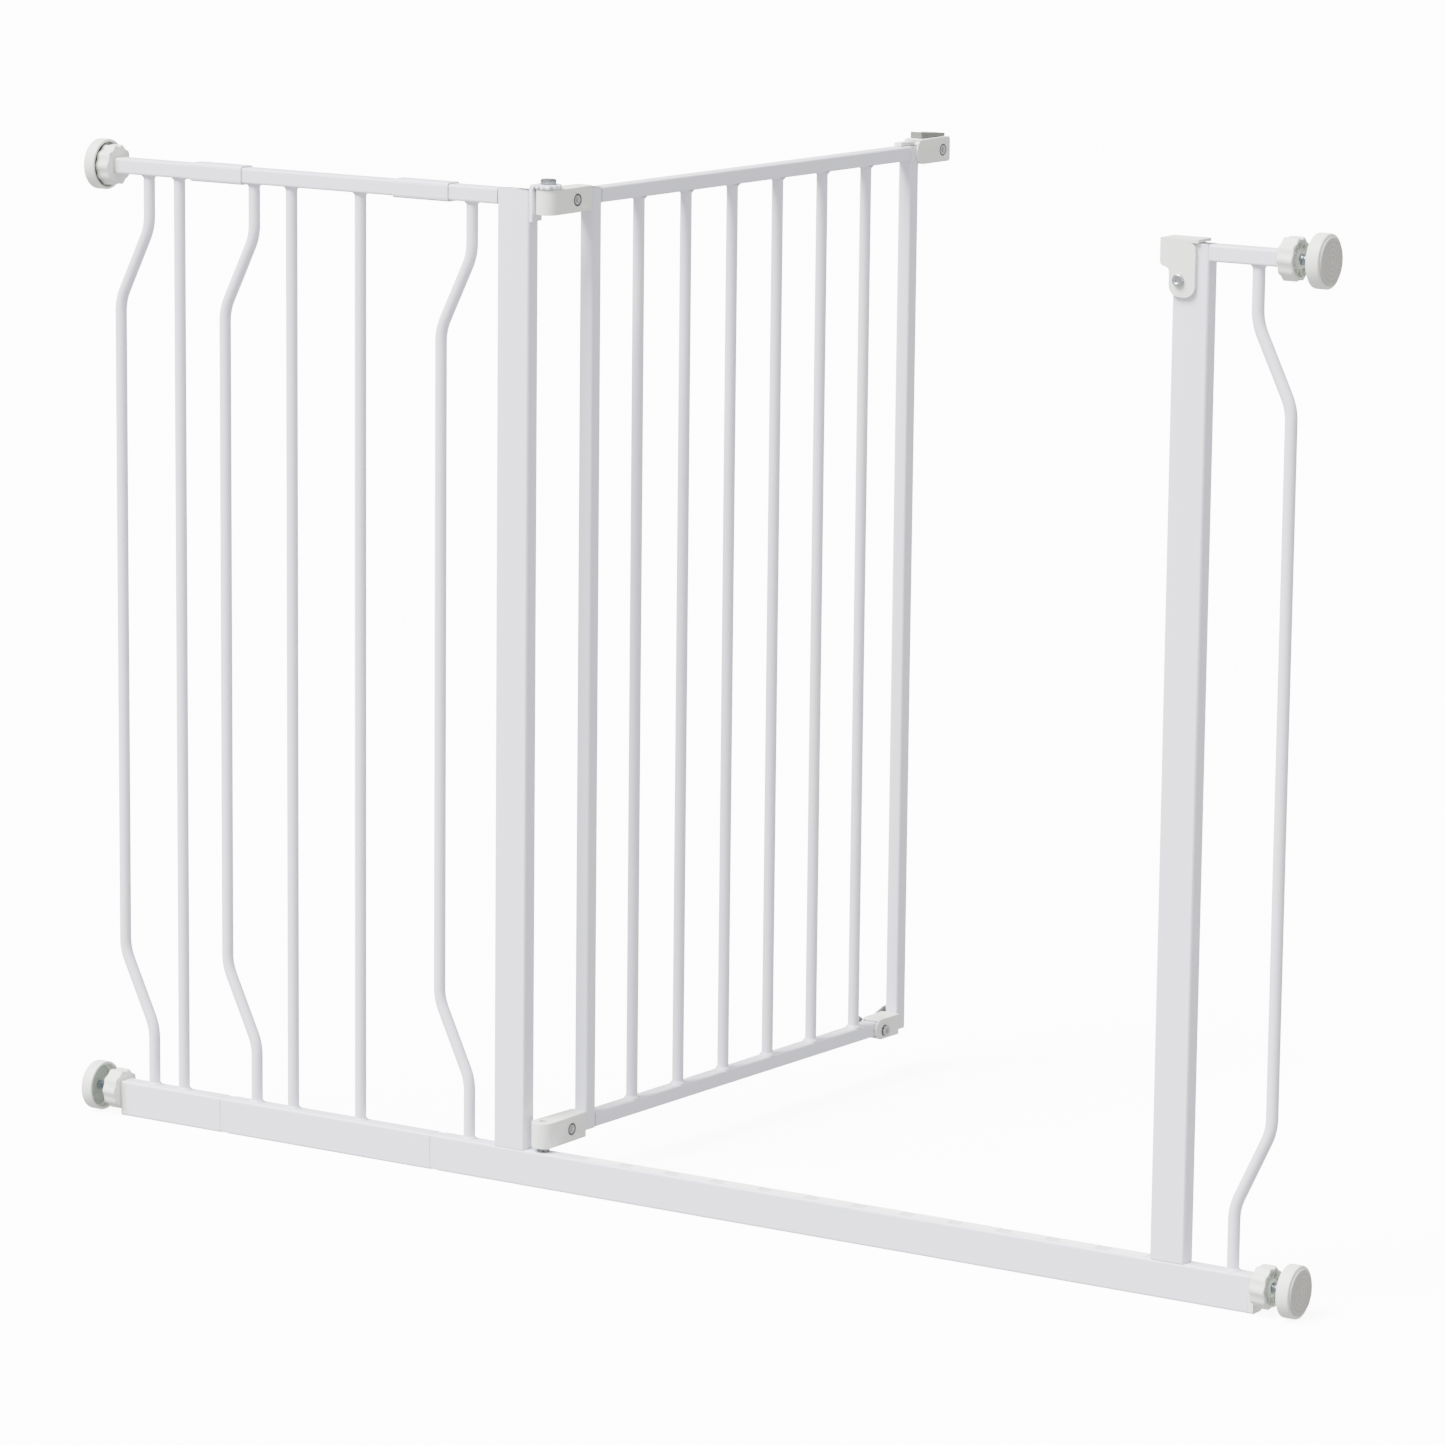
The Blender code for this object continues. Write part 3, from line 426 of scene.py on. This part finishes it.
def paintedShadowRing(nodeName, body, carrier):
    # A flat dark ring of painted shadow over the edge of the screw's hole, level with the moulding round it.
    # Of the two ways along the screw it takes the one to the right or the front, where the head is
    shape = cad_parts[nodeName].data
    axis = max(shape.polygons, key=lambda face: face.area).normal.copy()
    if axis.x - axis.y < 0:
        axis = -axis
    points = [vertex.co for vertex in shape.vertices]
    centre = sum(points, Vector()) / len(points)
    radius = max(((p - centre) - axis * axis.dot(p - centre)).length for p in points)
    offsets = [v.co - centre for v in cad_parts[carrier].data.vertices]
    near = [axis.dot(offset) for offset in offsets if offset.length < gap["reach"] * radius]
    level = max(near) + gap["lift"] * mm
    across = axis.cross(Vector((0, 0, 1))).normalized()
    upward = across.cross(axis)
    work = bmesh.new()
    rings = []
    turns = [2 * math.pi * i / gap["sides"] for i in range(gap["sides"])]
    for share in (gap["inner"], gap["outer"]):
        rings.append([work.verts.new(centre + axis * level + share * radius
                                     * (across * math.cos(a) + upward * math.sin(a))) for a in turns])
    for i in range(gap["sides"]):
        j = (i + 1) % gap["sides"]
        face = work.faces.new((rings[0][i], rings[1][i], rings[1][j], rings[0][j]))
        face.normal_update()
        if face.normal.dot(axis) < 0:
            face.normal_flip()
    mesh = bpy.data.meshes.new(nodeName + "Gap")
    work.to_mesh(mesh)
    work.free()
    mesh.materials.append(materials["paintedRecessShadow"])
    newPiece(nodeName + "Gap", mesh, body)


# Each sunk screw gets a ring of painted shadow round its head
for nodeName, carrier in gapScrews.items():
    paintedShadowRing(nodeName, "door", carrier)
print("screws outlined")


# ---- painted light on the threshold: bright pads for the light between the door bars' shadows ----

# Each pad is a patch of painted light; the rail's paint left between them stands for the bars' shadows
litPatch = {
    "firstX": -66, "pitch": 41, "count": 12, "length": 30, "width": 9.0, "thickness": 0.35,
    "studPitch": 2.5, "studRadius": 0.75, "studHeight": 0.35, "studSides": 8, "studTaper": 0.5,
    "studAreaAlong": 0.92, "studAreaAcross": 0.78, "airGap": 0.02}


def scaled(tree, value, factor):
    return addNode(tree, "ShaderNodeMath", {"operation": "MULTIPLY"}, {0: value, 1: factor}).outputs[0]


def litPatchTree():
    tree, given = newTree("litPatchPads", {
        "Count": "Int", "Pitch": "Vector", "Pad size": "Vector", "Stud radius": "Float",
        "Stud height": "Float", "Studs along": "Int", "Studs across": "Int", "Finish": "Material"})
    size = addNode(tree, "ShaderNodeSeparateXYZ", {}, {"Vector": given["Pad size"]}).outputs
    plate = addNode(tree, "GeometryNodeMeshCube", {}, {"Size": given["Pad size"]})
    grid = addNode(tree, "GeometryNodeMeshGrid", {}, {
        "Size X": scaled(tree, size["X"], litPatch["studAreaAlong"]),
        "Size Y": scaled(tree, size["Y"], litPatch["studAreaAcross"]),
        "Vertices X": given["Studs along"], "Vertices Y": given["Studs across"]})
    stud = addNode(tree, "GeometryNodeMeshCone", {"fill_type": "NGON"}, {
        "Vertices": litPatch["studSides"], "Radius Top": scaled(tree, given["Stud radius"], litPatch["studTaper"]),
        "Radius Bottom": given["Stud radius"], "Depth": given["Stud height"]})
    studs = addNode(tree, "GeometryNodeInstanceOnPoints", {}, {
        "Points": grid.outputs["Mesh"], "Instance": stud.outputs["Mesh"]})
    padTop = addNode(tree, "ShaderNodeCombineXYZ", {}, {"Z": scaled(tree, size["Z"], 0.5)})
    raised = addNode(tree, "GeometryNodeTransform", {}, {
        "Geometry": studs.outputs["Instances"], "Translation": padTop.outputs[0]})
    pad = addNode(tree, "GeometryNodeJoinGeometry")
    tree.links.new(raised.outputs["Geometry"], pad.inputs[0])
    tree.links.new(plate.outputs["Mesh"], pad.inputs[0])
    row = addNode(tree, "GeometryNodeMeshLine", {}, {"Count": given["Count"], "Offset": given["Pitch"]})
    start = addNode(tree, "GeometryNodeInputPosition").outputs[0]
    origin = addNode(tree, "GeometryNodeSampleIndex", {"data_type": "FLOAT_VECTOR"}, {
        "Geometry": given["Geometry"], "Value": start, "Index": 0})
    placed = addNode(tree, "GeometryNodeTransform", {}, {
        "Geometry": row.outputs["Mesh"], "Translation": origin.outputs["Value"]})
    pads = addNode(tree, "GeometryNodeInstanceOnPoints", {}, {
        "Points": placed.outputs["Geometry"], "Instance": pad.outputs["Geometry"]})
    return endTree(tree, pads.outputs["Instances"], given["Finish"])


def makeLitPatch():
    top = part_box("main_bottom_rail")[1].z
    lift = (litPatch["thickness"] / 2 + litPatch["airGap"]) * mm
    first = Vector(((litPatch["firstX"] + litPatch["length"] / 2) * mm, 0.0, top + lift))
    mesh = growMesh("litPatchPads", litPatchTree(), pointMesh("litPatchStart", [first]), {
        "Count": litPatch["count"], "Pitch": (litPatch["pitch"] * mm, 0.0, 0.0),
        "Pad size": tuple(litPatch[key] * mm for key in ("length", "width", "thickness")),
        "Stud radius": litPatch["studRadius"] * mm, "Stud height": litPatch["studHeight"] * mm,
        "Studs along": round(litPatch["length"] / litPatch["studPitch"]),
        "Studs across": round(litPatch["width"] / litPatch["studPitch"]),
        "Finish": materials["paintedLightPatch"]})
    newPiece("litPatchPads", mesh, "frame")


makeLitPatch()
print("tread made")


# ---- wall mounts: nut ribs, threads, cups and pads ----

mount = {
    "pitch": 1.5, "threadRise": 0.42, "threadSteps": 28, "threadEnd": 1.2, "threadSunk": 0.12,
    "ridgeSides": 6,
    "ribs": 10, "ribInner": 6.7, "ribOuter": 12.4, "ribDepth": 4.6, "ribWidth": 1.0, "ribSetback": 1.5,
    "cupRadius": 19.5, "cupSides": 64, "cupDepth": 11.0, "recessRadius": 17.5, "recessDepth": 7.0,
    "edge": 0.7, "hubRadius": 6.5, "hubHeight": 1.0, "padRadius": 17.0, "padProud": 1.2,
    "plateLift": 0.4, "plateSunk": 0.1, "padSunk": 0.2,
    "padRings": 4, "ringDepth": 0.35, "ringShoulder": 0.14, "ringFloor": 0.06,
    "dots": 4, "dotSides": 16, "dotRadius": 1.6, "dotTaper": 0.8, "dotHeight": 0.5, "dotOrbit": 11.5}


def threadTree():
    tree, given = newTree("spindleThread", {
        "Core radius": "Float", "Rise": "Float", "Turns": "Float", "Length": "Float", "Steps": "Int",
        "Start": "Vector", "Finish": "Material"})
    helix = addNode(tree, "GeometryNodeCurveSpiral", {}, {
        "Resolution": given["Steps"], "Rotations": given["Turns"], "Start Radius": given["Core radius"],
        "End Radius": given["Core radius"], "Height": given["Length"], "Reverse": False})
    ridge = addNode(tree, "GeometryNodeCurvePrimitiveCircle", {}, {
        "Resolution": mount["ridgeSides"], "Radius": given["Rise"]})
    wire = addNode(tree, "GeometryNodeCurveToMesh", {}, {
        "Curve": helix.outputs["Curve"], "Profile Curve": ridge.outputs["Curve"], "Fill Caps": True})
    laid = addNode(tree, "GeometryNodeTransform", {}, {
        "Geometry": wire.outputs["Mesh"], "Rotation": (0.0, math.pi / 2, 0.0), "Translation": given["Start"]})
    return endTree(tree, laid.outputs["Geometry"], given["Finish"])


def ribTree():
    tree, given = newTree("nutRibs", {
        "Count": "Int", "Rib size": "Vector", "Rib centre": "Vector", "Nut centre": "Vector",
        "Finish": "Material"})
    rib = addNode(tree, "GeometryNodeMeshCube", {}, {"Size": given["Rib size"]})
    outward = addNode(tree, "GeometryNodeTransform", {}, {
        "Geometry": rib.outputs["Mesh"], "Translation": given["Rib centre"]})
    stack = addNode(tree, "GeometryNodeMeshLine", {}, {"Count": given["Count"], "Offset": (0.0, 0.0, 0.0)})
    index = addNode(tree, "GeometryNodeInputIndex").outputs[0]
    share = addNode(tree, "ShaderNodeMath", {"operation": "DIVIDE"}, {0: index, 1: given["Count"]})
    turn = addNode(tree, "ShaderNodeCombineXYZ", {}, {"X": scaled(tree, share.outputs[0], 2 * math.pi)})
    ring = addNode(tree, "GeometryNodeInstanceOnPoints", {}, {
        "Points": stack.outputs["Mesh"], "Instance": outward.outputs["Geometry"],
        "Rotation": turn.outputs[0]})
    placed = addNode(tree, "GeometryNodeTransform", {}, {
        "Geometry": ring.outputs["Instances"], "Translation": given["Nut centre"]})
    return endTree(tree, placed.outputs["Geometry"], given["Finish"])


def sideOf(place):
    return -1 if place.endswith("left") else 1


def makeThread(place, tree):
    low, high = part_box(f"spindle_{place}")
    length = high.x - low.x - 2 * mount["threadEnd"] * mm
    core = (high.z - low.z) / 2
    middle = (low + high) / 2
    mesh = growMesh("thread_" + place, tree, pointMesh("threadSeed", [(0, 0, 0)]), {
        "Core radius": core - mount["threadSunk"] * mm, "Rise": mount["threadRise"] * mm, "Length": length,
        "Turns": length / (mount["pitch"] * mm), "Steps": mount["threadSteps"],
        "Start": (low.x + mount["threadEnd"] * mm, middle.y, middle.z),
        "Finish": materials["zincPlatedThread"]})
    newPiece("thread_" + place, mesh, "spindle_" + place)
    polishedCopy("spindle_" + place, "spindle_" + place, "zincPlatedThread")


def makeNut(place, tree):
    low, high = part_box(f"nut_{place}")
    side = sideOf(place)
    outer = high.x if side > 0 else low.x
    middle = (low + high) / 2
    reach = (mount["ribOuter"] - mount["ribInner"]) * mm
    mesh = growMesh("nutRibs_" + place, tree, pointMesh("ribSeed", [(0, 0, 0)]), {
        "Count": mount["ribs"], "Rib size": (mount["ribDepth"] * mm, reach, mount["ribWidth"] * mm),
        "Rib centre": (0.0, mount["ribInner"] * mm + reach / 2, 0.0),
        "Nut centre": (outer - side * (mount["ribDepth"] / 2 + mount["ribSetback"]) * mm, middle.y, middle.z),
        "Finish": materials["mouldedPolypropylene"]})
    newPiece("nutRibs_" + place, mesh, "nut_" + place)
    polishedCopy("nut_" + place, "nut_" + place, "mouldedPolypropylene")


def cupShellProfile(m, seat):
    # (distance from the rim, radius), from the recess's floor out round the rim to the wall side
    return [
        (m["recessDepth"], 0), (m["recessDepth"], m["recessRadius"] - m["edge"]),
        (m["recessDepth"] - m["edge"], m["recessRadius"]), (m["edge"] * 0.4, m["recessRadius"]),
        (0, m["recessRadius"] + m["edge"] * 0.5), (0, m["cupRadius"] - m["edge"]),
        (m["edge"] * 0.3, m["cupRadius"] - m["edge"] * 0.3), (m["edge"], m["cupRadius"]),
        (seat - m["edge"] * 1.6, m["cupRadius"]), (seat - m["edge"] * 0.5, m["cupRadius"] - m["edge"] * 0.4),
        (seat, m["cupRadius"] - m["edge"] * 1.4), (seat, 0)]


def cupPlateProfile(m, plateTop):
    hubTop = m["recessDepth"] - m["hubHeight"]
    foot = m["recessDepth"] + m["plateSunk"]
    return [
        (hubTop, 0), (hubTop, m["hubRadius"] - m["edge"]), (hubTop + m["edge"] * 0.5, m["hubRadius"]),
        (plateTop, m["hubRadius"] + m["edge"] * 0.4), (plateTop, m["recessRadius"] - m["edge"] * 2),
        (foot, m["recessRadius"] - m["edge"] * 1.5), (foot, 0)]


def dotProfile(m, plateTop):
    top = plateTop - m["dotHeight"]
    foot = plateTop + m["plateSunk"]
    return [(top, 0), (top, m["dotRadius"] * mount["dotTaper"]),
            (plateTop - m["dotHeight"] * 0.5, m["dotRadius"]), (foot, m["dotRadius"]), (foot, 0)]


def padProfile(m, seat):
    # Round grooves in the pad's face, from the outside in
    face, foot = m["cupDepth"], seat - m["padSunk"]
    profile = [(foot, 0), (foot, m["padRadius"]),
               (face - m["edge"] * 0.6, m["padRadius"]), (face, m["padRadius"] - m["edge"] * 0.6)]
    step = m["padRadius"] / (mount["padRings"] + 1)
    shoulder, floor = step * mount["ringShoulder"], step * mount["ringFloor"]
    for i in range(mount["padRings"], 0, -1):
        groove = step * i
        profile += [(face, groove + shoulder), (face - m["ringDepth"], groove + floor),
                    (face - m["ringDepth"], groove - floor), (face, groove - shoulder)]
    return [*profile, (face, 0)]


def makeCup(place):
    # Shell open towards the gate, a plate with four dots in its recess, and a ringed pad on the wall side
    low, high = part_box(f"cup_{place}")
    side = sideOf(place)
    middle = (low + high) / 2
    rim = Vector((low.x if side > 0 else high.x, middle.y, middle.z))
    m = {key: value * mm for key, value in mount.items()}
    seat = m["cupDepth"] - m["padProud"]
    plateTop = m["recessDepth"] - m["plateLift"]
    body = "spindle_" + place
    sides = mount["cupSides"]
    shell = turnedMesh("cupShell", cupShellProfile(m, seat), sides, rim, side, "mouldedPolypropylene")
    newPiece("cupShell_" + place, shell, body, [f"cup_{place}"])
    # The plate and its dots are painted greyer as the shade inside the recess
    plate = turnedMesh("cupPlate", cupPlateProfile(m, plateTop), sides, rim, side, "plateInPaintedShade")
    newPiece("cupPlate_" + place, plate, body)
    for i in range(mount["dots"]):
        a = math.pi / mount["dots"] + i * 2 * math.pi / mount["dots"]
        spot = rim + Vector((0, m["dotOrbit"] * math.cos(a), m["dotOrbit"] * math.sin(a)))
        dot = turnedMesh("cupDot", dotProfile(m, plateTop), mount["dotSides"], spot, side, "plateInPaintedShade")
        newPiece(f"cupDot{i}_{place}", dot, body)
    pad = turnedMesh("wallPad", padProfile(m, seat), sides, rim, side, "stippledRubber")
    newPiece("wallPad_" + place, pad, body)


threads = threadTree()
ribs = ribTree()
for place in places:
    makeThread(place, threads)
    makeNut(place, ribs)
    makeCup(place)
print("wall mounts made")


# ---- studio ----

studio = {
    "floorSize": 80.0, "floorColour": "#FFFFFF", "floorGlow": 9.0, "floorRoughness": 0.9,
    "worldColour": "#FFFFFF", "worldStrength": 1.1,
    "sunStrength": 13.5, "sunAngle": 0.6, "sunPlace": (-0.2424, -0.5198, 0.8192),
    "lens": 160.16, "sensor": 36.0, "cameraPlace": (2.5225, -3.9476, 1.2699),
    "cameraLook": (-0.5214, 0.8324, -0.1882), "cameraRoll": 0.611}


def makeStudio():
    half = studio["floorSize"] / 2
    mesh = bpy.data.meshes.new("studioFloor")
    corners = [(-half, -half, 0), (half, -half, 0), (half, half, 0), (-half, half, 0)]
    mesh.from_pydata(corners, [], [(0, 1, 2, 3)])
    floorPaint = bpy.data.materials.new("litPaperFloor")
    floorPaint.use_nodes = True
    shader = floorPaint.node_tree.nodes["Principled BSDF"]
    shader.inputs["Base Color"].default_value = linearColour(studio["floorColour"])
    shader.inputs["Roughness"].default_value = studio["floorRoughness"]
    shader.inputs["Emission Color"].default_value = linearColour(studio["floorColour"])
    shader.inputs["Emission Strength"].default_value = studio["floorGlow"]
    mesh.materials.append(floorPaint)
    floor = bpy.data.objects.new("studioFloor", mesh)
    floor.visible_diffuse = False
    floor.visible_glossy = False
    bpy.context.scene.collection.objects.link(floor)

    world = bpy.data.worlds.new("softWhiteRoom")
    bpy.context.scene.world = world
    world.use_nodes = True
    backdrop = world.node_tree.nodes["Background"]
    backdrop.inputs["Color"].default_value = linearColour(studio["worldColour"])
    backdrop.inputs["Strength"].default_value = studio["worldStrength"]

    light = bpy.data.lights.new("windowLight", "SUN")
    light.energy = studio["sunStrength"]
    light.angle = studio["sunAngle"]
    lamp = bpy.data.objects.new("windowLight", light)
    lamp.rotation_euler = Vector(studio["sunPlace"]).to_track_quat("Z", "Y").to_euler()
    bpy.context.scene.collection.objects.link(lamp)

    lensData = bpy.data.cameras.new("viewCamera")
    lensData.lens = studio["lens"]
    lensData.sensor_width = studio["sensor"]
    camera = bpy.data.objects.new("viewCamera", lensData)
    camera.location = studio["cameraPlace"]
    look = Vector(studio["cameraLook"]).to_track_quat("-Z", "Y")
    roll = Quaternion((0.0, 0.0, 1.0), math.radians(studio["cameraRoll"]))
    camera.rotation_euler = (look @ roll).to_euler()
    bpy.context.scene.collection.objects.link(camera)
    bpy.context.scene.camera = camera


makeStudio()
print("studio made")
